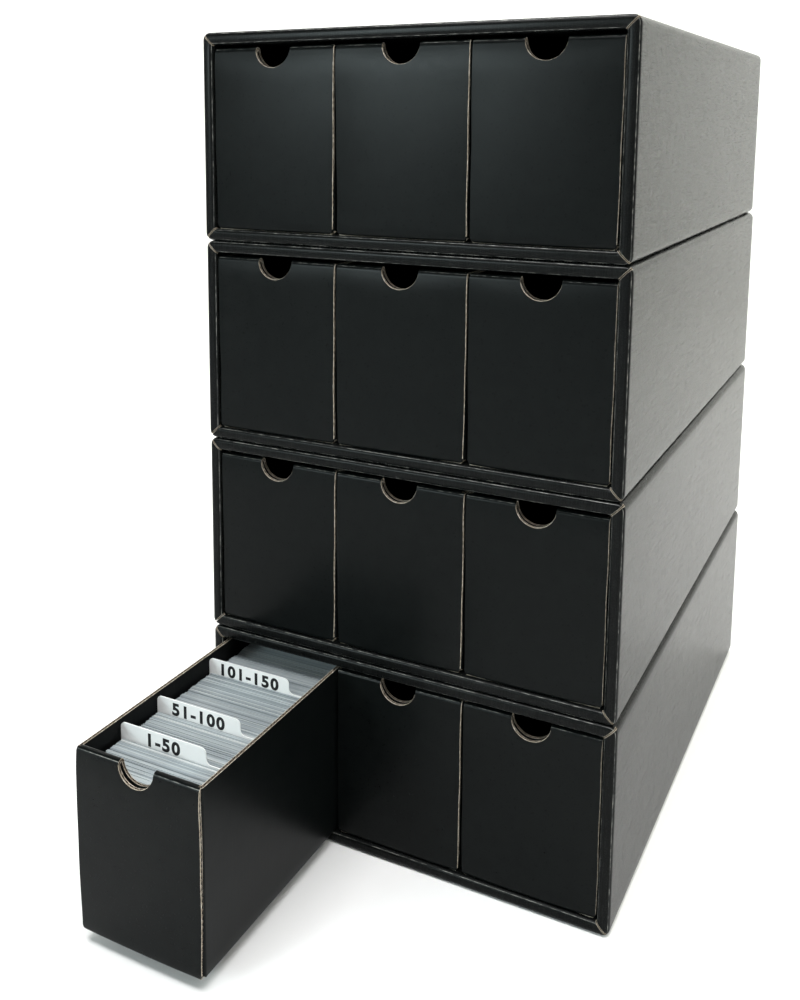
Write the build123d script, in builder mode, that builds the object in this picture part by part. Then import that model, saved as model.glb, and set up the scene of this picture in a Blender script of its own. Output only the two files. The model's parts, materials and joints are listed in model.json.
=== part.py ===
from build123d import *
import os
import random

os.makedirs("parts", exist_ok=True)

# A stack of four open-fronted cases of black corrugated board. Each case holds three
# pull-out drawers side by side. The bottom left drawer stands open and holds cards on edge,
# parted by tabbed dividers.
# Millimetres. The origin is the centre of the bottom case's footprint, on the surface it
# stands on. +Z is up, the drawers open towards -Y, and +X is on the right from the front.

# ---- cases -------------------------------------------------------------------------------
tier_count = 4
case_width = 252.0
case_depth = 375.0
case_height = 120.0
case_board = 3.0            # one layer of the case's board
fold_space = 1.0            # space between the two layers of a folded wall
case_fold_radius = 3.2      # outside of the long folded edges
hem_ease = 0.3              # the roll at the front is this much tighter than the long folds
rear_edge_radius = 1.2
mitre_gap = 0.5             # open cut where two rolled edges meet
mitre_depth = 1.0           # how far the cut goes on behind the roll
rear_seam_width = 0.8       # open joint round the tucked rear panel
rear_seam_depth = 1.5
tier_step_right = -0.8      # each case stands a little off the one below it
tier_step_back = 0.4

# ---- drawers -----------------------------------------------------------------------------
drawers_across = 3
drawer_board = 2.0          # one layer of a drawer's board
drawer_gap = 0.75           # running gap between neighbouring drawers
drawer_headroom = 2.0       # running gap over a drawer
front_recess = 1.3          # from the front of the case back to the drawer fronts
rear_clearance = 3.0        # from a shut drawer's end to the rear panel
tray_fold_radius = 2.0      # long bottom folds and upright corner folds
panel_corner_radius = 3.0   # lower corners of the outer end panels
crest_flat = 0.2            # flat strip left along the top of a folded end
wall_step = 0.8             # side walls stop this far under the folded ends
flap_length = 22.0          # corner flaps between the layers of the front
notch_radius = 12.5         # half-moon thumb notch
notch_drop = 0.5            # from the top of the front down to the notch's centre
open_pull = 137.0           # how far the bottom left drawer stands open

# ---- contents of the open drawer ---------------------------------------------------------
card_width = 66.0           # a sleeved card
card_height = 91.0
card_side_gap = 1.8         # from the left wall to the cards
packet_thickness = 3.0      # a few cards that stand level with each other
packet_unevenness = 0.8     # by how much the packets differ in height
pack_lengths = [27.4, 30.7, 49.7]   # cards in front of each divider, from the front
free_length = 40.0          # room left behind the last cards
divider_width = 71.0
divider_thickness = 0.5
shoulder_height = 91.4      # low part of a divider, on the right
tab_height = 8.6            # tab above the shoulder
tab_width = 56.0
tab_radius = 3.0
divider_side_gap = 0.8      # from the left wall to the dividers
content_gap = 0.3           # between one piece of the contents and the next

# ---- sizes that follow -------------------------------------------------------------------
case_wall = 2 * case_board + fold_space
bay_width = case_width - 2 * case_wall
bay_height = case_height - 2 * case_wall
hem_radius = case_fold_radius - hem_ease
mitre_length = 2 * case_wall
drawer_pitch = bay_width / drawers_across
drawer_width = drawer_pitch - drawer_gap
drawer_height = bay_height - drawer_headroom
drawer_length = case_depth - case_board - front_recess - rear_clearance
end_thickness = 3 * drawer_board
crest_radius = (end_thickness - crest_flat) / 2
inner_width = drawer_width - 2 * drawer_board
wall_height = drawer_height - wall_step

pack_places = ["front", "second", "third", "rear"]
divider_places = ["front", "middle", "rear"]
column_places = ["left", "centre", "right"]
chance = random.Random(7)


def place_name(places, index):
    """The word for a place in a row, or its number where the row is longer than the words."""
    return places[index] if index < len(places) else f"number_{index + 1}"


def facing_front(x, y, z):
    """Plane that faces the front: its own X is to the right and its own Y is up."""
    return Plane(origin=(x, y, z), x_dir=(1, 0, 0), z_dir=(0, -1, 0))


def facing_right(x, y, z):
    """Plane that faces the right: its own X is to the back and its own Y is up."""
    return Plane(origin=(x, y, z), x_dir=(0, 1, 0), z_dir=(1, 0, 0))


def build_case(label, x, y, z):
    """One case from one blank: double walls, rolled over at the front, tucked rear panel.
    x, y, z is the middle of its front's lower edge."""
    front = facing_front(x, y, z)
    back = facing_front(x, y + case_depth, z)
    with BuildPart() as case:
        with BuildSketch(front):
            with Locations((0, case_height / 2)):
                RectangleRounded(case_width, case_height, case_fold_radius)
        extrude(amount=-case_depth)
        fillet(case.faces().sort_by(Axis.Y)[-1].edges(), rear_edge_radius)
        # the bay that the drawers slide in
        with BuildSketch(front):
            with Locations((0, case_height / 2)):
                Rectangle(bay_width, bay_height)
        extrude(amount=-(case_depth - case_board), mode=Mode.SUBTRACT)
        fillet(case.faces().sort_by(Axis.Y)[0].edges(), hem_radius)
        # the rolled edges meet in a mitre at each corner
        with BuildSketch(front):
            for side in (-1, 1):
                for end in (-1, 1):
                    corner_x = side * (case_width - case_wall) / 2
                    corner_z = (case_height + end * (case_height - case_wall)) / 2
                    with Locations(Location((corner_x, corner_z, 0), (0, 0, 45 * side * end))):
                        Rectangle(mitre_length, mitre_gap)
        extrude(amount=-(hem_radius + mitre_depth), mode=Mode.SUBTRACT)
        # open joint round the rear panel, which folds up from the floor
        with BuildSketch(back):
            with Locations((0, case_height / 2)):
                Rectangle(case_width - 2 * case_board, case_height - 2 * case_board)
            with Locations((0, case_height / 2 - rear_seam_width)):
                Rectangle(case_width - 2 * case_board - 2 * rear_seam_width,
                          case_height - 2 * case_board, mode=Mode.SUBTRACT)
        extrude(amount=rear_seam_depth, mode=Mode.SUBTRACT)
    case.part.label = label
    return case


def build_drawer(label, x, y, z):
    """One drawer from one blank: a tray whose ends fold over two corner flaps.
    x, y, z is the middle of its front's lower edge."""
    front = facing_front(x, y, z)
    floor = Plane(origin=(x, y, z))
    side = facing_right(x, y, z)
    with BuildPart() as drawer:
        # side walls, and the end flaps that they fold into
        with BuildSketch(floor):
            with Locations((0, drawer_length / 2)):
                RectangleRounded(drawer_width, drawer_length - 2 * drawer_board, tray_fold_radius)
        extrude(amount=wall_height)
        with BuildSketch(front):
            with Locations((0, drawer_height)):
                RectangleRounded(drawer_width, 2 * drawer_height, tray_fold_radius)
        extrude(amount=-drawer_length, mode=Mode.INTERSECT)
        with BuildSketch(floor.offset(drawer_board)):
            with Locations((0, drawer_length / 2)):
                Rectangle(inner_width, drawer_length - 4 * drawer_board)
        extrude(amount=drawer_height, mode=Mode.SUBTRACT)
        # each end: an outer panel across the whole width, folded over to an inner panel
        for edge, inward in ((0, 1), (drawer_length, -1)):
            for width, depth in ((drawer_width, drawer_board), (inner_width, end_thickness)):
                with BuildSketch(side) as end:
                    with Locations((edge + inward * end_thickness / 2, drawer_height / 2)):
                        Rectangle(end_thickness, drawer_height)
                    fillet(end.vertices().group_by(Axis.Y)[-1], crest_radius)
                    outer_corner = end.vertices().group_by(Axis.Y)[0].sort_by(Axis.X)[0 if inward > 0 else -1]
                    fillet(outer_corner, tray_fold_radius)
                    with Locations((edge + inward * depth / 2, drawer_height / 2)):
                        Rectangle(depth, drawer_height, mode=Mode.INTERSECT)
                extrude(amount=width / 2, both=True)
            with BuildSketch(facing_front(x, y + edge, z)):
                for hand in (-1, 1):
                    with Locations((hand * (drawer_width - panel_corner_radius) / 2,
                                    panel_corner_radius / 2)):
                        Rectangle(panel_corner_radius, panel_corner_radius)
                    with Locations((hand * (drawer_width / 2 - panel_corner_radius),
                                    panel_corner_radius)):
                        Circle(panel_corner_radius, mode=Mode.SUBTRACT)
            extrude(amount=-inward * drawer_board, mode=Mode.SUBTRACT)
        # between the corner flaps the folded front is hollow, and the notch opens into it
        with BuildSketch(floor.offset(drawer_board)):
            with Locations((0, 1.5 * drawer_board)):
                Rectangle(inner_width - 2 * flap_length, drawer_board)
        extrude(amount=drawer_height - 2 * drawer_board, mode=Mode.SUBTRACT)
        with BuildSketch(front):
            with Locations((0, drawer_height - notch_drop)):
                Circle(notch_radius)
        extrude(amount=-end_thickness, mode=Mode.SUBTRACT)
    drawer.part.label = label
    return drawer


def build_divider(label, x, y, z):
    """Plastic divider with a tab on the left. x, y, z is its lower left front corner."""
    with BuildPart() as divider:
        with BuildSketch(facing_front(x, y, z)) as outline:
            with Locations((divider_width / 2, shoulder_height / 2)):
                Rectangle(divider_width, shoulder_height)
            with Locations((tab_width / 2, (shoulder_height + tab_height) / 2)):
                Rectangle(tab_width, shoulder_height + tab_height)
            fillet(outline.vertices(), tab_radius)
        extrude(amount=-divider_thickness)
    divider.part.label = label
    return divider


def build_pack(label, x, y, z, length):
    """Cards on edge, in packets of slightly different height.
    x, y, z is the lower left front corner."""
    packet_count = max(1, round(length / packet_thickness))
    step = length / packet_count
    with BuildPart() as pack:
        with BuildSketch(facing_right(x, y, z)):
            for packet in range(packet_count):
                height = card_height - chance.uniform(0, packet_unevenness)
                with Locations(((packet + 0.5) * step, height / 2)):
                    Rectangle(step, height)
        extrude(amount=card_width)
    pack.part.label = label
    return pack


# ---- cases and drawers, from the bottom up -----------------------------------------------
for tier in range(tier_count):
    tier_x = tier * tier_step_right
    tier_y = tier * tier_step_back - case_depth / 2
    tier_z = tier * case_height
    case = build_case(f"case_tier_{tier + 1}", tier_x, tier_y, tier_z)
    export_step(case.part, f"parts/{case.part.label}.step")
    for column in range(drawers_across):
        pull = open_pull if tier == 0 and column == 0 else 0
        drawer_x = tier_x + (column - (drawers_across - 1) / 2) * drawer_pitch
        drawer_y = tier_y + front_recess - pull
        name = f"drawer_tier_{tier + 1}_{place_name(column_places, column)}"
        drawer = build_drawer(name, drawer_x, drawer_y, tier_z + case_wall)
        export_step(drawer.part, f"parts/{drawer.part.label}.step")

# ---- cards and dividers, from the open drawer's front to its back ------------------------
wall_x = -(drawers_across - 1) / 2 * drawer_pitch - inner_width / 2
tray_y = front_recess - open_pull - case_depth / 2
tray_z = case_wall + drawer_board
next_y = tray_y + end_thickness + content_gap
last_y = tray_y + drawer_length - end_thickness - free_length
for index, length in enumerate(pack_lengths + [None]):
    if length is None:
        length = last_y - next_y
    name = f"cards_{place_name(pack_places, index)}"
    pack = build_pack(name, wall_x + card_side_gap, next_y, tray_z, length)
    export_step(pack.part, f"parts/{pack.part.label}.step")
    next_y += length + content_gap
    if index < len(pack_lengths):
        name = f"divider_{place_name(divider_places, index)}"
        divider = build_divider(name, wall_x + divider_side_gap, next_y, tray_z)
        export_step(divider.part, f"parts/{divider.part.label}.step")
        next_y += divider_thickness + content_gap
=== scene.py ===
import json
import math
import random

import bmesh
import bpy
from mathutils import Matrix, Vector

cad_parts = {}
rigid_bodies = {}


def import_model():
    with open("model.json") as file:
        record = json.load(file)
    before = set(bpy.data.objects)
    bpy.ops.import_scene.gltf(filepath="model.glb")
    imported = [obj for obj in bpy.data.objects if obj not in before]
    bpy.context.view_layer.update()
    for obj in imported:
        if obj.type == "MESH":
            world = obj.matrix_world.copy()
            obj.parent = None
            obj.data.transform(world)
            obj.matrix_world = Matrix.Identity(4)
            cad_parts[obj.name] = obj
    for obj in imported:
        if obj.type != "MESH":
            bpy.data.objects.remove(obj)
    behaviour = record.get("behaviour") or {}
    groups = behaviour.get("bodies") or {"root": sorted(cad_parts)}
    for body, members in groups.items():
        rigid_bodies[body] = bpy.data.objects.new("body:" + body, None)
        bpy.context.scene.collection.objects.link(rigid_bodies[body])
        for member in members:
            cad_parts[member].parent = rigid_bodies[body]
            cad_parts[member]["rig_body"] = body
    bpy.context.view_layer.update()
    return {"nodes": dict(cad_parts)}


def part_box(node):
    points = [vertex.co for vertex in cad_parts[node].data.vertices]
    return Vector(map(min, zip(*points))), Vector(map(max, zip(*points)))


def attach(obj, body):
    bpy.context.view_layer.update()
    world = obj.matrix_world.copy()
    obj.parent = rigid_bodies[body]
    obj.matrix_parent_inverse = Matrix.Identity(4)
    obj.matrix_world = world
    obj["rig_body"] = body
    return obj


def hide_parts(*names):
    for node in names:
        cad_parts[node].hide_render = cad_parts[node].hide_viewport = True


# A stack of four cases of black corrugated board with three drawers in each. The bottom left
# drawer stands open and holds sleeved cards parted by tabbed dividers.
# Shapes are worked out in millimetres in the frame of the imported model, and stored in metres.

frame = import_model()
MM = 0.001
MERGE = 2e-6                # points nearer than this are one point, in metres
SHARP = math.radians(34)    # edges that turn more than this are drawn sharp

# ---- board -------------------------------------------------------------------------------
FLUTE_PITCH = 3.2           # from wave to wave inside the board
LINER = 0.15                # share of the board's thickness that one liner takes
MEDIUM = 0.15               # the same for the wavy sheet between the liners
EDGE_HOLLOW = 0.7           # how deep the space between the liners shows at a cut edge
WAVE_SUNK = 0.05            # the wave ends this far inside the cut
WAVE_ROOT = 0.02            # and goes on this far under the floor of the hollow
LEFT_LIP, RIGHT_LIP, NOTCH_LIP = 0.08, 0.2, 0.14    # how far the cut liner leans out

CASE_WALL = 7.0             # a folded wall: two layers of board and the space between them
CASE_BOARD = 3.0            # one layer of the case's board
LONG_FOLD = 4.6             # radius of the long folds, pressed rounder than the solid's
CASE_FOLD = 2.7             # radius of the rolled front edge, outside
HEM_IN = 2.4                # radius of the rolled front edge, inside
EDGE_WAVER = 0.10           # the rolled front edge wavers by up to twice this much
WALL_RIPPLE = 0.22          # the outside of a wall ripples by up to this much
WALL_END = 9.0              # the last stretch of a wall, with the long fold and the slit
REAR_RADIUS = 1.2           # edges of the rear face
REAR_SAG = 0.9              # the tucked rear panel falls in by this much towards its middle,
REAR_SAG_RUN = 55.0         # over this distance
SEAM = 0.8                  # width of the joint round the tucked rear panel
SEAM_DEPTH = 1.5
SLIT_DEPTH = 4.2            # the mitre slits reach this far behind the front
SLIT_LINE = 0.66            # half of a slit's width with its raw paper lips
SLIT_WIDE = 0.5             # half of a slit's width at its mouth
SLIT_NARROW = 0.12          # half of a slit's width at its root
SLIT_CLEAR = 0.03           # the wall beside a slit keeps this far off its lip

DRAWER_BOARD = 2.0
CREST_RISE = 2.9            # height of the rounded top of a folded end
LEAN = 0.9                  # near its fold the outer panel leans back this far,
LEAN_FROM = 17.0            # starting this far under the crest
BOW_FADE = 22.0             # its bow dies away over this height under the crest
CORNER = 3.0                # lower corners of the outer panels
FLAP = 22.0                 # length of the flaps between the layers of an end
FLAP_EASE = 0.06            # space between a flap and the panel in front of it
FLOOR_EASE = 0.04           # space round the floor
NOTCH_RADIUS = 11.3         # half-moon thumb notch
NOTCH_DROP = 0.5            # from the top of the end down to the notch's centre
WALL_STEP = 0.8             # the side walls stop this far under the ends
STRETCH_FROM = 60.0         # above this the rows of a panel bend down to the notch

# finishes in the order of an object's material slots
FRONT, SIDE, INSIDE, KRAFT, HOLLOW_SHADE, WAVE_PAPER_AND_SHADE, CREASE_SCUFF_HIGHLIGHT = range(7)


# ---- mesh tools --------------------------------------------------------------------------
class Shell:
    """Points in millimetres, faces, and the material slot of each face."""

    def __init__(self):
        self.points, self.faces, self.finishes = [], [], []

    def grid(self, rows, finish, closed=False, skip=None):
        """Faces between rows of points. finish is a slot, or a function of row and column."""
        first, width = len(self.points), len(rows[0])
        for row in rows:
            self.points.extend(row)
        for j in range(len(rows) - 1):
            for k in range(width if closed else width - 1):
                if skip and skip(j, k):
                    continue
                a, b = first + j * width, first + (j + 1) * width
                n = (k + 1) % width
                self.faces.append((a + k, a + n, b + n, b + k))
                self.finishes.append(finish(j, k) if callable(finish) else finish)

    def cap(self, points, finish):
        """One face over a closed outline."""
        first = len(self.points)
        self.points.extend(points)
        self.faces.append(tuple(range(first, first + len(points))))
        self.finishes.append(finish)

    def tube(self, rings, finish, first_end, last_end):
        """Faces round closed rings of points, and over the first and the last ring."""
        self.grid(rings, finish, closed=True)
        self.cap(rings[0], first_end)
        self.cap(rings[-1], last_end)


def make_piece(name, shell, materials, node):
    """A mesh object that stands for a CAD node and moves with the node's body."""
    mesh = bpy.data.meshes.new(name)
    mesh.from_pydata([p * MM for p in shell.points], [], shell.faces)
    mesh.polygons.foreach_set("material_index", shell.finishes)
    work = bmesh.new()
    work.from_mesh(mesh)
    bmesh.ops.remove_doubles(work, verts=work.verts, dist=MERGE)
    bmesh.ops.delete(work, geom=[v for v in work.verts if not v.link_faces], context="VERTS")
    bmesh.ops.recalc_face_normals(work, faces=work.faces)
    work.to_mesh(mesh)
    work.free()
    mesh.polygons.foreach_set("use_smooth", [True] * len(mesh.polygons))
    mesh.set_sharp_from_angle(angle=SHARP)
    for material in materials:
        mesh.materials.append(material)
    piece = bpy.data.objects.new(name, mesh)
    bpy.context.scene.collection.objects.link(piece)
    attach(piece, frame["nodes"][node]["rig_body"])
    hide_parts(node)


def node_box(node):
    """Lowest and highest corner of a CAD node, in millimetres."""
    low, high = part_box(node)
    return low / MM, high / MM


def cut_edge(shell, face, back, into, waves=True, lip=0.0):
    """Closes the border of a sheet of board. face and back are the border on its two sides, and
    into points from the border into the sheet. With waves the cut shows two liners and a wave.
    The cutting die leaves the liner on the face leaning out by lip."""
    if not waves:
        shell.grid([face, back], KRAFT)
        return

    def across(share, depth):
        return [f.lerp(b, share) + d * depth for f, b, d in zip(face, back, into)]

    rows = [face, across(LINER, -lip), across(LINER, EDGE_HOLLOW), across(1 - LINER, EDGE_HOLLOW),
            across(1 - LINER, 0), back]
    # the sides and floor of the hollow between the liners are painted as shade
    shell.grid(rows, lambda j, k: HOLLOW_SHADE if 1 <= j <= 3 else KRAFT)
    for end in (0, -1):
        shell.cap([rows[j][end] for j in (1, 2, 3, 4)], KRAFT)
    # the wavy sheet between the liners, as a narrow band on the floor of the hollow: four
    # samples to a wave
    run = [0.0]
    for one, two in zip(face, face[1:]):
        run.append(run[-1] + (two - one).length)
    count = max(4, round(run[-1] / FLUTE_PITCH * 4))
    swing, root = 0.5 - LINER - MEDIUM / 2, EDGE_HOLLOW + WAVE_ROOT
    rings, at = [], 0
    for sample in range(count + 1):
        s = run[-1] * sample / count
        while at < len(run) - 2 and s > run[at + 1]:
            at += 1
        t = (s - run[at]) / max(run[at + 1] - run[at], 1e-9)
        f, b = face[at].lerp(face[at + 1], t), back[at].lerp(back[at + 1], t)
        d = into[at].lerp(into[at + 1], t)
        middle = 0.5 + swing * math.sin(sample * math.pi / 2)
        rings.append([f.lerp(b, middle + side * MEDIUM / 2) + d * depth
                      for side, depth in ((-1, WAVE_SUNK), (1, WAVE_SUNK), (1, root), (-1, root))])
    # the wave's darker paper carries painted shade of the hollow
    shell.tube(rings, WAVE_PAPER_AND_SHADE, WAVE_PAPER_AND_SHADE, WAVE_PAPER_AND_SHADE)


def steps(start, end, count):
    """Evenly spaced numbers from start to end, with count spaces between them."""
    return [start + (end - start) * i / count for i in range(count + 1)]


# ---- materials ---------------------------------------------------------------------------
class Nodes:
    """A material's node tree, with short ways to add and join nodes."""

    def __init__(self, name, roughness, ior=1.45):
        self.material = bpy.data.materials.new(name)
        self.material.use_nodes = True
        self.tree = self.material.node_tree
        self.shader = self.tree.nodes["Principled BSDF"]
        self.shader.inputs["Roughness"].default_value = roughness
        self.shader.inputs["IOR"].default_value = ior
        self.place = self.tree.nodes.new("ShaderNodeTexCoord").outputs["Object"]

    def link(self, output, target):
        self.tree.links.new(output, target)

    def noise(self, scale, detail=2.0, stretch=None):
        """A noise pattern whose grains are about 1 / scale metres; stretch scales the axes."""
        node = self.tree.nodes.new("ShaderNodeTexNoise")
        node.inputs["Scale"].default_value = scale
        node.inputs["Detail"].default_value = detail
        place = self.place
        if stretch:
            mapping = self.tree.nodes.new("ShaderNodeMapping")
            mapping.inputs["Scale"].default_value = stretch
            self.link(place, mapping.inputs["Vector"])
            place = mapping.outputs["Vector"]
        self.link(place, node.inputs["Vector"])
        return node.outputs["Fac"]

    def flutes(self, axis):
        """The board's waves, which show through its liner as faint lines across an axis."""
        node = self.tree.nodes.new("ShaderNodeTexWave")
        node.bands_direction = axis
        turn = 20           # radians for each unit of length at a scale of 1
        node.inputs["Scale"].default_value = 2 * math.pi / (turn * FLUTE_PITCH * MM)
        node.inputs["Distortion"].default_value = 0.6
        node.inputs["Detail"].default_value = 1.0
        self.link(self.place, node.inputs["Vector"])
        return node.outputs["Fac"]

    def spread(self, value, low, high):
        """Turns the middle of a pattern's range into low to high."""
        node = self.tree.nodes.new("ShaderNodeMapRange")
        for name, number in (("From Min", 0.3), ("From Max", 0.7),
                             ("To Min", low), ("To Max", high)):
            node.inputs[name].default_value = number
        self.link(value, node.inputs["Value"])
        return node.outputs["Result"]

    def sum(self, one, two):
        """Half the sum of two patterns."""
        node = self.tree.nodes.new("ShaderNodeMath")
        node.operation = "MULTIPLY_ADD"
        node.inputs[1].default_value = 0.5
        half = self.tree.nodes.new("ShaderNodeMath")
        half.operation = "MULTIPLY"
        half.inputs[1].default_value = 0.5
        self.link(one, node.inputs[0])
        self.link(two, half.inputs[0])
        self.link(half.outputs["Value"], node.inputs[2])
        return node.outputs["Value"]

    def tint(self, value, colours):
        """Colours, each with its place from 0 to 1, picked by a value."""
        node = self.tree.nodes.new("ShaderNodeValToRGB")
        ramp = node.color_ramp
        while len(ramp.elements) < len(colours):
            ramp.elements.new(0.5)
        for element, (position, colour) in zip(ramp.elements, colours):
            element.position = position
            element.color = (*colour, 1)
        self.link(value, node.inputs["Fac"])
        self.link(node.outputs["Color"], self.shader.inputs["Base Color"])

    def bump(self, *layers):
        """Layers of (height pattern, height in millimetres), added one on another."""
        normal = None
        for pattern, height in layers:
            node = self.tree.nodes.new("ShaderNodeBump")
            node.inputs["Strength"].default_value = 1.0
            node.inputs["Distance"].default_value = height * MM
            self.link(pattern, node.inputs["Height"])
            if normal:
                self.link(normal, node.inputs["Normal"])
            normal = node.outputs["Normal"]
        self.link(normal, self.shader.inputs["Normal"])


PRINT_IOR = 1.165           # the print is dull, and mirrors little unless seen at a low angle


def board_print(name, axis, dark, light, roughness, fluting, linen=False):
    """Black printed liner with a fine paper grain, and the board's waves showing through. Linen
    gives it faint lines along and across, which show where the surface is seen at a low angle."""
    made = Nodes(name, roughness[0], ior=PRINT_IOR)
    made.tint(made.noise(140, 4), [(0.35, dark), (0.7, light)])
    made.bump((made.flutes(axis), fluting), (made.noise(1400, 3), 0.0003 if linen else 0.0008))
    grain = made.noise(700, 3)
    if linen:
        grain = made.sum(made.noise(1300, 2, (1, 0.05, 1)), made.noise(1300, 2, (1, 1, 0.05)))
    made.link(made.spread(grain, *roughness), made.shader.inputs["Roughness"])
    return made.material


PRINT_DARK, PRINT_LIGHT = (0.0020, 0.0027, 0.0027), (0.0033, 0.0042, 0.0041)
print_front = board_print("print_front", "Z", PRINT_DARK, PRINT_LIGHT, (0.27, 0.31), 0.002)
print_side = board_print("print_side", "Y", PRINT_DARK, PRINT_LIGHT, (0.29, 0.33), 0.003)
print_case = board_print("print_case", "Y", (0.0026, 0.0030, 0.0029),
                         (0.0041, 0.0046, 0.0045), (0.24, 0.30), 0.010, linen=True)
print_inside = board_print("print_inside", "Y", (0.0032, 0.0036, 0.0037),
                           (0.0052, 0.0056, 0.0057), (0.48, 0.54), 0.004)


def raw_paper(name, grain, colours):
    """Brown paper without print, as the cuts in the board show it. Made darker, it also serves as
    painted shade in the hollows of a cut.
    """
    made = Nodes(name, 0.9)
    made.tint(made.noise(grain, 3), colours)
    made.bump((made.noise(2600, 2), 0.02))
    return made.material


kraft = raw_paper("kraft_cut_edge", 400, [(0.3, (0.22, 0.18, 0.135)), (0.5, (0.41, 0.36, 0.285)),
                                          (0.7, (0.66, 0.61, 0.53))])
# the wavy sheet's paper, painted darker than the cut liners as shade of the hollow it stands in;
# on the flanks of the mitre slits the same colour is painted shade
wave_paper_and_shade = raw_paper("kraft_wave_and_shade", 700, [(0.3, (0.10, 0.078, 0.056)), (0.7, (0.25, 0.205, 0.155))])
# near black paper, all painted shade: the hollow between a cut's liners, the root of the mitre
# slits and the seam round the rear panel
hollow_shade = raw_paper("kraft_shadow", 700, [(0.3, (0.014, 0.011, 0.009)),
                                         (0.7, (0.045, 0.035, 0.027))])

# along a crease the print is scuffed, in a thin and broken pale line; the line is made pale enough
# to stand also as a painted highlight on the rounded fold
crease_scuff_and_highlight = Nodes("print_crease_scuff_and_highlight", 0.36, ior=1.38)
crease_scuff_and_highlight.tint(crease_scuff_and_highlight.noise(260, 4), [(0.4, (0.006, 0.007, 0.007)), (0.5, (0.055, 0.058, 0.055)),
                                     (0.68, (0.19, 0.19, 0.175))])
crease_scuff_and_highlight.bump((crease_scuff_and_highlight.noise(1500, 2), 0.004))

# the materials of drawers and cases, in the order of the finishes
BOARD = [print_front, print_side, print_inside, kraft, hollow_shade, wave_paper_and_shade, crease_scuff_and_highlight.material]
CASE = [print_case, print_case, print_inside, kraft, hollow_shade, wave_paper_and_shade, crease_scuff_and_highlight.material]


# ---- cases -------------------------------------------------------------------------------
def case_stations(depth):
    """Points of a wall's profile from the rear panel's inner face, along the bay, round the
    rolled front edge, back along the outside and over the rear face. Each is the part that it
    belongs to, the distance behind the front, and the distance inwards from the outside."""
    panel = [("inside", depth - CASE_BOARD, t) for t in (58, 52, 40, 25, 12, CASE_WALL)]
    bay = [("inside", y, CASE_WALL) for y in (340, 270, 190, 110, 40, 12, SLIT_DEPTH)]
    # the roll has a quarter turn from the bay to the front, and another on to the outside
    turns = [(math.radians(a), "crease" if 40 < a < 50 else "roll")
             for a in (90, 75, 60, 49, 41, 30, 15, 0)]
    roll = [(part, HEM_IN * (1 - math.cos(turn)), CASE_WALL - HEM_IN * (1 - math.sin(turn)))
            for turn, part in turns]
    roll += [(part, CASE_FOLD * (1 - math.sin(turn)), CASE_FOLD * (1 - math.cos(turn)))
             for turn, part in turns]
    outside = [("outside", y, 0) for y in (SLIT_DEPTH, 9, 20, *steps(36, depth - 20, 17),
                                           depth - 8, depth - REAR_RADIUS)]
    rear = [("rear", depth - REAR_RADIUS * (1 - math.sin(math.radians(a))),
             REAR_RADIUS * (1 - math.cos(math.radians(a)))) for a in (30, 60, 90)]
    rear += [(part, depth, t) for part, t in (("rear", CASE_BOARD), ("seam", CASE_BOARD),
                                              ("seam", CASE_BOARD + SEAM),
                                              ("rear", CASE_BOARD + SEAM))]
    rear += [("rear", depth, t) for t in (12, 25, 40, 52, 58)]
    return panel + bay + roll + outside + rear


def case_columns(half):
    """Places along a wall from one mitre to the other: distance from the wall's middle, how far
    the rounded fold draws it in, and half of the slit's width where it lies on the slit."""
    right = []
    for slit in (None, None, None, SLIT_LINE, SLIT_WIDE, SLIT_NARROW):
        turn = math.pi / 4 - slit / LONG_FOLD if slit else len(right) * math.radians(13)
        right.append((half - LONG_FOLD + LONG_FOLD * math.sin(turn),
                      LONG_FOLD * (1 - math.cos(turn)), slit))
    left = [(-a, drawn, slit) for a, drawn, slit in reversed(right)]
    middle = [(a, 0, None) for a in steps(-half + WALL_END, half - WALL_END, 12)]
    return left + middle + right


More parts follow.
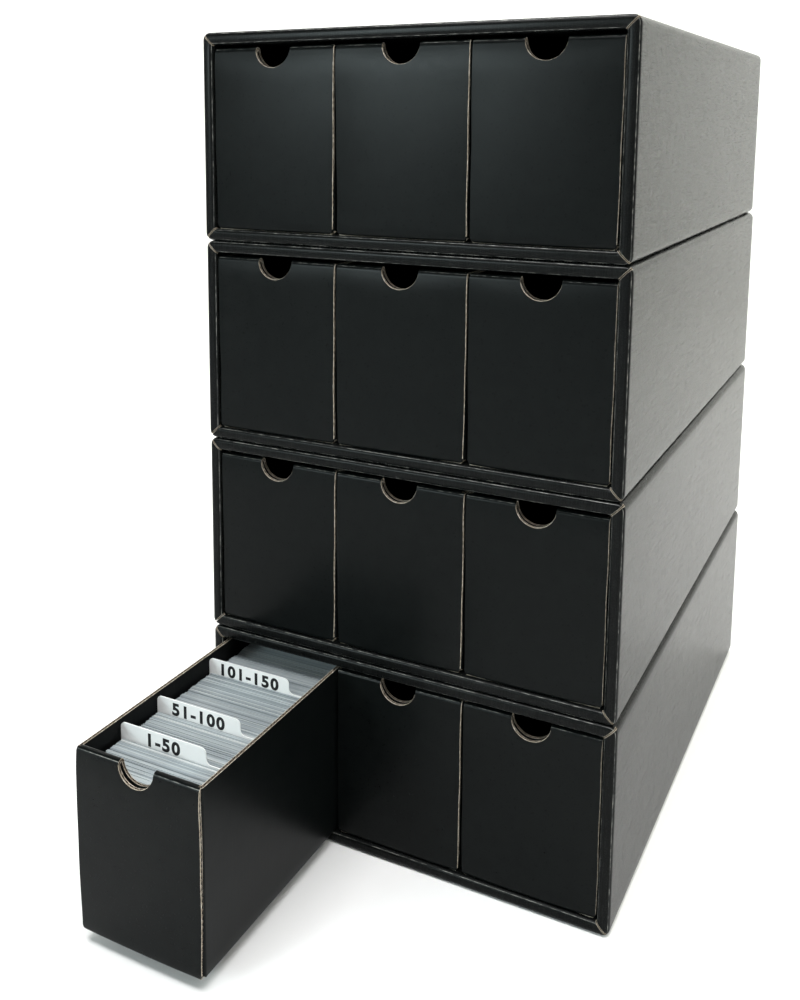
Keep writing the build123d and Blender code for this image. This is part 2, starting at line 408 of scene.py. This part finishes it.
def build_case(node):
    """A case from one blank: double walls, rolled over at the front, and a tucked rear panel."""
    low, high = node_box(node)
    width, depth, height = high - low
    chance = random.Random(node)
    centre = Vector(((low.x + high.x) / 2, low.y, (low.z + high.z) / 2))
    # each wall, from the floor round: the direction along it, the direction inwards, half of its
    # length, and its distance from the centre
    walls = [(Vector((1, 0, 0)), Vector((0, 0, 1)), width / 2, height / 2),
             (Vector((0, 0, 1)), Vector((-1, 0, 0)), height / 2, width / 2),
             (Vector((-1, 0, 0)), Vector((0, 0, -1)), width / 2, height / 2),
             (Vector((0, 0, -1)), Vector((1, 0, 0)), height / 2, width / 2)]
    stations = case_stations(depth)
    columns = []
    for index, (along, inward, half, reach) in enumerate(walls):
        sag = chance.uniform(0.25, 0.5)
        phases = [chance.uniform(0, 2 * math.pi) for _ in range(4)]
        columns += [(index, along, inward, half, reach, sag, phases, *column)
                    for column in case_columns(half)]
    slits = [column[-1] for column in columns]

    def point(part, y, t, column):
        index, along, inward, half, reach, sag, phases, a, drawn, slit = column
        rolled = part in ("roll", "crease")
        in_slit = rolled and slit is not None
        if rolled and slit is None and abs(a) > half - WALL_END:
            lip = LONG_FOLD * (1 - math.cos(math.pi / 4 - SLIT_LINE / LONG_FOLD))
            limit = half - lip - min(t, CASE_WALL) * (1 - lip / CASE_WALL) - SLIT_LINE - SLIT_CLEAR
            a = max(-limit, min(limit, a))
        if in_slit and slit == SLIT_NARROW:
            y = SLIT_DEPTH
        if part == "seam" and index:    # none at the floor, which the rear panel folds up from
            y -= SEAM_DEPTH
        inset = drawn + t * (1 - drawn / CASE_WALL) if t <= CASE_WALL else t
        if part == "outside":
            share = 1 - (a / half) ** 2
            ripple = (2 + math.sin(y / 31 + phases[0] + a / 47)
                      + math.sin(a / 19 + phases[1] + y / 90)) / 4
            inset += share * math.sin(math.pi * min(1, y / depth)) * (sag + WALL_RIPPLE * ripple)
        if part == "rear" and t > CASE_BOARD + SEAM:
            y -= REAR_SAG * math.sin(math.pi / 2 * (t - CASE_BOARD) / REAR_SAG_RUN)
        if rolled and 0.5 < t < CASE_WALL - 0.5:
            y += EDGE_WAVER * (1 + math.sin(a / 13 + phases[2])) * (1 - abs(a) / half * 0.6)
        limit = half - inset - (slit if in_slit else 0)
        a = max(-limit, min(limit, a))
        return centre + Vector((0, y, 0)) + along * a + inward * (inset - reach)

    def finish(j, k):
        one, two = stations[j][0], stations[j + 1][0]
        n = (k + 1) % len(columns)
        # in a mitre slit the raw lips are kraft, and the flanks and the root darken inwards as
        # painted shade
        if {one, two} & {"roll", "crease"} and slits[k] and slits[n]:
            if SLIT_LINE in (slits[k], slits[n]):
                return KRAFT
            return WAVE_PAPER_AND_SHADE if slits[k] != slits[n] else HOLLOW_SHADE
        # the band at the crease of the roll: scuffed print with a painted highlight
        if one == "crease" and two == "crease":
            return CREASE_SCUFF_HIGHLIGHT
        # the floor of the seam round the rear panel is painted as shade
        if one == "seam" and two == "seam":
            return HOLLOW_SHADE
        if "seam" in (one, two):
            return KRAFT
        return INSIDE if one == "inside" and two == "inside" else FRONT

    shell = Shell()
    shell.tube([[point(*station, column) for column in columns] for station in stations],
               finish, INSIDE, FRONT)
    make_piece(node + "_board", shell, CASE, node)


# ---- drawers -----------------------------------------------------------------------------
def bottom_fold():
    """The rounded fold along a drawer's bottom, from the floor up: distance inwards, height."""
    b = DRAWER_BOARD
    return [(b - b * math.sin(math.radians(a)), b - b * math.cos(math.radians(a)))
            for a in (0, 22.5, 45, 67.5, 90)]


def build_end(shell, place, width, height, notch, chance):
    """A folded end of a drawer: outer panel, rounded crest, inner panel. place turns (x, distance
    inwards from the end, z) into a point. With notch the end has the thumb notch."""
    b, thick, half = DRAWER_BOARD, 3 * DRAWER_BOARD, width / 2
    inner = half - b
    crest_z = height - CREST_RISE
    # rows from the bottom fold, up the outer panel, over the crest and down the inner panel:
    # y and z on the face, y and z on the back, half of the row's width, how much it bows
    rows = [(y, z, b, b, half, 1) for y, z in bottom_fold()]
    panel_start = len(rows) - 1
    rows += [(0, z, b, z, half, 1)
             for z in (6, 12, 22, 32, 42, 52, 61, 69, 76, 82, 87, 91, 94, 96.5, 99)]
    panel_top = len(rows)

    def crest(a, reach):
        """A row on the rounded crest, a degrees on from the outer panel."""
        turn = math.radians(a)
        return (thick / 2 * (1 - math.cos(turn)), crest_z + CREST_RISE * math.sin(turn),
                thick / 2 - b / 2 * math.cos(turn),
                crest_z + (CREST_RISE - b) * math.sin(turn), reach, 0)

    rows += [(0, crest_z, b, crest_z, half, 1)]
    rows += [crest(a, half) for a in (14, 27, 38, 46, 58, 70.5)]
    full_end = len(rows) - 1
    crease = panel_top + 3
    rows += [crest(a, inner) for a in (70.5, 90, 108, 126, 144, 162, 180)]
    inner_top = len(rows) - 1
    rows += [(thick, z, thick - b, z, inner, 0) for z in (94, 80, 60, 40, 20, b + 0.2)]

    # columns: x, and the angle on the notch's rim
    limit = math.acos((CREST_RISE - NOTCH_DROP) / NOTCH_RADIUS)
    rim = [(NOTCH_RADIUS * math.sin(a), a if notch else None) for a in steps(-limit, limit, 18)]
    outer = [14, 17, 21, 26, 31, 34.5, half - 3, half - 2, half - 1.2, half - 0.5, half]
    columns = [(-x, None) for x in reversed(outer)] + rim + [(x, None) for x in outer]
    first, last = len(outer), len(outer) + len(rim) - 1

    lean = [chance.uniform(0.15, 0.75) for _ in range(3)]
    phases = [chance.uniform(0, 2 * math.pi) for _ in range(3)]
    shy = [(chance.uniform(0.35, 0.6), chance.uniform(0.3, 0.9)),
           (chance.uniform(0.3, 0.5), chance.uniform(0.0, 0.9))]

    def bow(x, z):
        """How far the outer panel stands back: its edges fall away and waver a little."""
        side = lean[0] if x < 0 else lean[1]
        edge = (abs(x) / half) ** 2.6
        waver = 0.5 + 0.5 * math.sin(z / 17 + phases[0 if x < 0 else 1])
        fade = min(1.0, max(0.0, (crest_z - z) / BOW_FADE))
        return fade * (edge * (side + 0.35 * waver) + lean[2] * 0.6 * (1 - z / height) ** 2)

    def trimmed(x, z):
        """A panel's edge is never quite straight: it stops a little short of the full width."""
        edge, foot = shy[0 if x < 0 else 1]
        waver = 0.12 * math.sin(z / 7 + phases[2]) + 0.1 * math.sin(z / 19 + phases[0])
        short = max(0.33, edge + foot * (1 - z / height) ** 2 + waver)
        return x - math.copysign(short * (abs(x) / half) ** 8, x)

    def point(j, k, back):
        face_y, face_z, back_y, back_z, reach, bowed = rows[j]
        x, angle = columns[k]
        x = max(-reach, min(reach, x))
        y, z = (back_y, back_z) if back else (face_y, face_z)
        over = abs(x) - (half - CORNER)
        if reach == half and over > 0:
            z = max(z, CORNER - math.sqrt(max(0.0, CORNER ** 2 - over ** 2)))
        if reach == half:
            x = trimmed(x, z)
        if angle is not None and z > STRETCH_FROM:
            rim_z = height - NOTCH_DROP - NOTCH_RADIUS * math.cos(angle)
            z = STRETCH_FROM + ((z - STRETCH_FROM) * (rim_z - STRETCH_FROM)
                                / (crest_z - STRETCH_FROM))
        share = max(0.0, 1 + (min(z, crest_z) - crest_z) / LEAN_FROM) ** 2.5
        if j <= inner_top:
            y += (1 - y / thick) * LEAN * (share if bowed else 1)
        if bowed:
            y += bow(x, z)
        return place(x, y, z)

    def open_above(j, k):
        return notch and first <= k < last and panel_top <= j < inner_top

    face = [[point(j, k, False) for k in range(len(columns))] for j in range(len(rows))]
    back = [[point(j, k, True) for k in range(len(columns))] for j in range(len(rows))]
    # the crease row of the crest: scuffed print with a painted highlight
    shell.grid(face, lambda j, k: CREASE_SCUFF_HIGHLIGHT if j == crease else FRONT, skip=open_above)
    shell.grid(back, INSIDE, skip=open_above)
    # borders: bottom fold, foot of the inner panel, both sides, and the notch
    cut_edge(shell, face[0], back[0], None, waves=False)
    cut_edge(shell, face[-1], back[-1], None, waves=False)
    for k, inwards in ((0, 1), (len(columns) - 1, -1)):
        for start, end, waves in ((0, panel_start, False), (panel_start, full_end, True),
                                  (full_end, full_end + 1, False), (full_end + 1, inner_top, True),
                                  (inner_top, len(rows) - 1, False)):
            span = range(start, end + 1)
            lip = (LEFT_LIP if k == 0 else RIGHT_LIP) if start == panel_start else 0
            cut_edge(shell, [face[j][k] for j in span], [back[j][k] for j in span],
                     [Vector((inwards, 0, 0))] * len(span), waves, lip)
    if notch:
        span = range(first, last + 1)
        into = [Vector((math.sin(columns[k][1]), 0, -math.cos(columns[k][1]))) for k in span]
        for j in (panel_top, inner_top):
            cut_edge(shell, [face[j][k] for k in span], [back[j][k] for k in span], into,
                     lip=NOTCH_LIP if j == panel_top else 0)
        for k, inwards in ((first, -1), (last, 1)):
            span = range(panel_top, inner_top + 1)
            cut_edge(shell, [face[j][k] for j in span], [back[j][k] for j in span],
                     [Vector((inwards, 0, 0))] * len(span))


def build_wall(shell, place, width, height, length, chance):
    """One side wall with the flaps that it folds into at both ends."""
    b, half = DRAWER_BOARD, width / 2
    inner, top = half - b, height - WALL_STEP
    start = b + FLAP_EASE
    # plan of the strip: x, y, outward direction, and 1 where the wall folds into the floor
    near = [(x, start, 0, -1, 0) for x in (inner - FLAP, inner - 14, inner - 6, inner)]
    for a in (22.5, 45, 67.5, 90):
        turn = math.radians(a)
        near.append((inner + b * math.sin(turn), start + b - b * math.cos(turn),
                     math.sin(turn), -math.cos(turn), 0))
    far = [(x, length - y, nx, -ny, 0) for x, y, nx, ny, _ in reversed(near)]
    first, last = start + b, length - start - b
    between = (first + 0.4, *steps(first + 8, last - 8, 22), last - 0.4)
    plan = near + [(half, y, 1, 0, 1) for y in between] + far
    # levels: how far the fold draws the face in, and the height on the face and on the back
    levels = [(drawn, z, b) for drawn, z in bottom_fold()]
    levels += [(0, z, z) for z in (8, 20, 36, 52, 68, 84, top)]
    bend, phase = chance.uniform(0.1, 0.4), chance.uniform(0, 6)

    def point(level, spot, back):
        drawn, z, back_z = level
        x, y, nx, ny, folds = spot
        if back:
            z, drawn = back_z, b
        else:
            drawn *= folds
        z = z if folds else max(z, b + FLAP_EASE)
        give = folds * math.sin(math.pi * y / length) ** 0.5 * math.sin(math.pi / 2 * z / top) ** 2
        x -= give * (bend + 0.12 * math.sin(y / 37 + phase))
        return place(x - nx * drawn, y - ny * drawn, z)

    face = [[point(level, spot, False) for spot in plan] for level in levels]
    back = [[point(level, spot, True) for spot in plan] for level in levels]
    shell.grid(face, SIDE)
    shell.grid(back, INSIDE)
    cut_edge(shell, face[0], back[0], None, waves=False)
    cut_edge(shell, face[-1], back[-1], [Vector((0, 0, -1))] * len(plan))
    for k in (0, len(plan) - 1):
        cut_edge(shell, [row[k] for row in face], [row[k] for row in back], None, waves=False)


def build_drawer(node):
    """A drawer from one blank: two folded ends, two side walls and a floor."""
    low, high = node_box(node)
    width, length, height = high - low
    middle = (low.x + high.x) / 2
    chance = random.Random(node)
    shell = Shell()
    for end, inwards, notch in ((low.y, 1, True), (high.y, -1, False)):
        build_end(shell, lambda x, y, z: Vector((middle + x, end + inwards * y, low.z + z)),
                  width, height, notch, chance)
    for hand in (-1, 1):
        build_wall(shell, lambda x, y, z: Vector((middle + hand * x, low.y + y, low.z + z)),
                   width, height, length, chance)
    # floor
    reach, start = width / 2 - DRAWER_BOARD - FLOOR_EASE, DRAWER_BOARD + FLOOR_EASE
    sheets = [[[Vector((middle + x, low.y + y, low.z + z)) for x in steps(-reach, reach, 4)]
               for y in steps(start, length - start, 12)] for z in (0, DRAWER_BOARD)]
    for sheet, finish in zip(sheets, (SIDE, INSIDE)):
        shell.grid(sheet, finish)
    for j in (0, -1):
        cut_edge(shell, sheets[0][j], sheets[1][j], None, waves=False)
        cut_edge(shell, [row[j] for row in sheets[0]], [row[j] for row in sheets[1]], None,
                 waves=False)
    make_piece(node + "_board", shell, BOARD, node)


# ---- contents ----------------------------------------------------------------------------
sleeve = Nodes("sleeved_card_edges", 0.32)
shade = sleeve.tree.nodes.new("ShaderNodeNewGeometry").outputs["Random Per Island"]
sleeve.tint(shade, [(0.0, (0.115, 0.138, 0.152)), (0.1, (0.22, 0.254, 0.271)),
                    (0.5, (0.278, 0.314, 0.33)), (0.9, (0.335, 0.372, 0.384)),
                    (0.97, (0.50, 0.52, 0.52))])
sleeve.bump((sleeve.noise(500, 2, (0.15, 6, 1)), 0.02))
plastic = Nodes("divider_plastic", 0.34, ior=1.49)
plastic.tint(plastic.noise(30, 2), [(0.3, (0.78, 0.785, 0.78)), (0.7, (0.83, 0.835, 0.83))])
plastic.bump((plastic.noise(900, 2), 0.003))
ink = Nodes("divider_ink", 0.6, ior=1.3)
ink.tint(ink.noise(800, 2), [(0.3, (0.006, 0.006, 0.007)), (0.7, (0.012, 0.012, 0.013))])


def build_cards(node):
    """A pack of sleeved cards on edge, one thin slab for each."""
    low, high = node_box(node)
    chance = random.Random(node)
    shell = Shell()
    thick = []              # of each card in its sleeve
    while sum(thick) < high.y - low.y:
        thick.append(chance.choice((0.45, 0.55, 0.6, 0.7, 0.95)))
    scale = (high.y - low.y) / sum(thick)
    y, drift = low.y, 0.0   # a card stands a little off its neighbour, and a little lower
    for card in thick:
        drift = 0.82 * drift + chance.uniform(-0.22, 0.22)
        left = low.x + 0.5 + drift + chance.uniform(-0.25, 0.25)
        top = high.z - 0.1 - min(1.5, abs(0.6 * drift) + chance.uniform(0, 0.5))
        right = left + high.x - low.x - 0.8
        back = y + card * scale - 0.05
        ring = [Vector((x, y, z))
                for x, z in ((left, low.z), (right, low.z), (right, top), (left, top))]
        shell.tube([ring, [p + Vector((0, back - y, 0)) for p in ring]], 0, 0, 0)
        y += card * scale
    make_piece(node + "_sleeves", shell, [sleeve.material], node)


TAB = 56.0                  # width of the tab
SHOULDER = 91.4             # height of the low part beside it
TAB_RADIUS = 3.0            # every corner of the sheet
WORD_HEIGHT = 6.8           # of the figures on the tab
WORD_SHARE = 0.7            # share of a font's size that its figures are high
WORD_WEIGHT = 0.40          # the strokes are this much bolder on each side
WORD_SPACING = 1.2          # between the figures
WORD_WIDTH = 1.1            # the figures are this much wider than the font's
WORD_DROP = 1.6             # below the middle of the tab
WORD_LIFT = 0.03            # the print stands this far off the plastic


def rounded(corners, radius):
    """A closed outline with its corners rounded."""
    out = []
    for i, corner in enumerate(corners):
        before = (corners[i - 1] - corner).normalized()
        after = (corners[(i + 1) % len(corners)] - corner).normalized()
        centre = corner + (before + after) * radius
        for a in steps(0, math.pi / 2, 6):
            out.append(centre - after * radius * math.cos(a) - before * radius * math.sin(a))
    return out


def build_divider(node, word):
    """A plastic divider with a tab on the left, and a number printed on the tab."""
    low, high = node_box(node)
    shoulder = low.z + SHOULDER
    corners = [Vector((x, 0, z)) for x, z in ((low.x, low.z), (high.x, low.z), (high.x, shoulder),
                                              (low.x + TAB, shoulder), (low.x + TAB, high.z),
                                              (low.x, high.z))]
    outline = rounded(corners, TAB_RADIUS)
    shell = Shell()
    shell.tube([[p + Vector((0, y, 0)) for p in outline] for y in (low.y, high.y)], 0, 0, 0)
    # the number, as thin solid letters on the front of the tab
    letters = bpy.data.curves.new("letters", "FONT")
    letters.body = word
    letters.size = WORD_HEIGHT * MM / WORD_SHARE
    letters.align_x, letters.align_y = "CENTER", "CENTER"
    letters.offset = WORD_WEIGHT * MM
    letters.space_character = WORD_SPACING
    letters.extrude = WORD_LIFT * MM
    holder = bpy.data.objects.new("letters", letters)
    bpy.context.scene.collection.objects.link(holder)
    bpy.context.view_layer.update()
    shaped = holder.evaluated_get(bpy.context.evaluated_depsgraph_get())
    mesh = bpy.data.meshes.new_from_object(shaped)
    bpy.data.objects.remove(holder)
    middle = Vector((low.x + TAB / 2, low.y, (high.z + shoulder) / 2 - WORD_DROP))
    first = len(shell.points)
    shell.points.extend(middle + Vector((v.co.x * WORD_WIDTH, -v.co.z, v.co.y)) / MM
                        for v in mesh.vertices)
    for face in mesh.polygons:
        shell.faces.append(tuple(first + v for v in face.vertices))
        shell.finishes.append(1)
    make_piece(node + "_sheet", shell, [plastic.material, ink.material], node)


for node in frame["nodes"]:
    if node.startswith("case_"):
        build_case(node)
    elif node.startswith("drawer_"):
        build_drawer(node)
    elif node.startswith("cards_"):
        build_cards(node)
for node, word in (("divider_front", "1-50"), ("divider_middle", "51-100"),
                   ("divider_rear", "101-150")):
    build_divider(node, word)

# ---- stage: a pale floor that sweeps up into a round wall, in metres ---------------------
FLOOR_CORE, FLOOR_REACH = 0.3, 2.3      # radii where the floor's rings start and end
FLOOR_Z = -0.0003                       # just under the bottom case
SWEEP, WALL_TOP = 0.7, 2.6
studio = Nodes("studio_paint", 0.9)
studio.tint(studio.noise(3, 2), [(0.3, (0.86, 0.86, 0.86)), (0.7, (0.88, 0.88, 0.88))])
profile = [(r, FLOOR_Z) for r in (FLOOR_CORE, 0.8, 1.5, FLOOR_REACH)]
profile += [(FLOOR_REACH + SWEEP * math.sin(a), SWEEP * (1 - math.cos(a)))
            for a in steps(0, math.pi / 2, 12)[1:]]
profile += [(FLOOR_REACH + SWEEP, WALL_TOP)]
around = steps(0, 2 * math.pi, 72)[:-1]
rings = [[Vector((r * math.cos(a), r * math.sin(a), z)) for a in around] for r, z in profile]
sweep = Shell()
sweep.grid(rings, 0, closed=True)
sweep.cap(rings[0], 0)
mesh = bpy.data.meshes.new("studio_sweep")
mesh.from_pydata(sweep.points, [], sweep.faces)
mesh.polygons.foreach_set("use_smooth", [True] * len(mesh.polygons))
mesh.materials.append(studio.material)
floor = bpy.data.objects.new("studio_sweep", mesh)
bpy.context.scene.collection.objects.link(floor)


def soft_light(name, place, target, size, power, colour=(1, 1, 1)):
    """A rectangular lamp that faces target; size in metres, power in watts."""
    data = bpy.data.lights.new(name, "AREA")
    data.shape, data.size, data.size_y = "RECTANGLE", *size
    data.energy, data.color = power, colour
    lamp = bpy.data.objects.new(name, data)
    lamp.location = place
    lamp.rotation_mode = "QUATERNION"
    lamp.rotation_quaternion = (Vector(target) - Vector(place)).to_track_quat("-Z", "Y")
    bpy.context.scene.collection.objects.link(lamp)


soft_light("overhead", (0.1, 0.05, 1.9), (0.1, 0.05, 0), (1.4, 1.4), 28)
soft_light("floor_fill", (0.1, -0.8, 1.7), (0.1, -0.55, 0), (1.3, 0.4), 20)
soft_light("backdrop_left", (-0.8, 0.5, 2.3), (-1.3, 2.4, 0.5), (1.4, 1.0), 42, (1.0, 0.99, 0.96))
soft_light("backdrop", (0.6, 0.9, 2.4), (0.9, 2.6, 0.6), (1.6, 1.2), 52, (0.99, 1.0, 0.86))
soft_light("front_left", (-0.88, -2.0, 0.73), (-0.05, -0.2, 0.42), (0.5, 0.45), 17.5,
           (0.82, 0.98, 1.0))
soft_light("floor_right", (0.75, -0.55, 1.1), (0.22, -0.08, 0), (0.5, 0.5), 3, (1.0, 1.0, 0.95))

world = bpy.data.worlds.new("studio_air")
world.use_nodes = True
world.node_tree.nodes["Background"].inputs["Color"].default_value = (0.05, 0.052, 0.054, 1)
bpy.context.scene.world = world
bpy.context.scene.view_settings.view_transform = "Standard"

# ---- camera ------------------------------------------------------------------------------
FRAME_WIDE, FRAME_HIGH = 800, 1000                      # of the picture, in pixels
FOCAL, CENTRE_X, CENTRE_Y = 1113.75, 335.67, 289.41     # in pixels
CAMERA_PLACE = (0.25510, -0.72472, 0.42940)
AZIMUTH, ELEVATION, ROLL = (math.radians(a) for a in (28.726, 8.569, 0.043))
toward = Vector((math.sin(AZIMUTH) * math.cos(ELEVATION),
                 -math.cos(AZIMUTH) * math.cos(ELEVATION), math.sin(ELEVATION)))
right = Vector((0, 0, 1)).cross(toward).normalized()
up = toward.cross(right)
right, up = (right * math.cos(ROLL) + up * math.sin(ROLL),
             up * math.cos(ROLL) - right * math.sin(ROLL))
data = bpy.data.cameras.new("camera")
data.sensor_width = 36
data.lens = FOCAL * data.sensor_width / FRAME_HIGH
data.shift_x = (FRAME_WIDE / 2 - CENTRE_X) / FRAME_HIGH
data.shift_y = (CENTRE_Y - FRAME_HIGH / 2) / FRAME_HIGH
data.clip_start, data.clip_end = 0.05, 20
camera = bpy.data.objects.new("camera", data)
turned = Matrix((right, up, toward)).transposed().to_4x4()
camera.matrix_world = Matrix.Translation(CAMERA_PLACE) @ turned
bpy.context.scene.collection.objects.link(camera)
bpy.context.scene.camera = camera
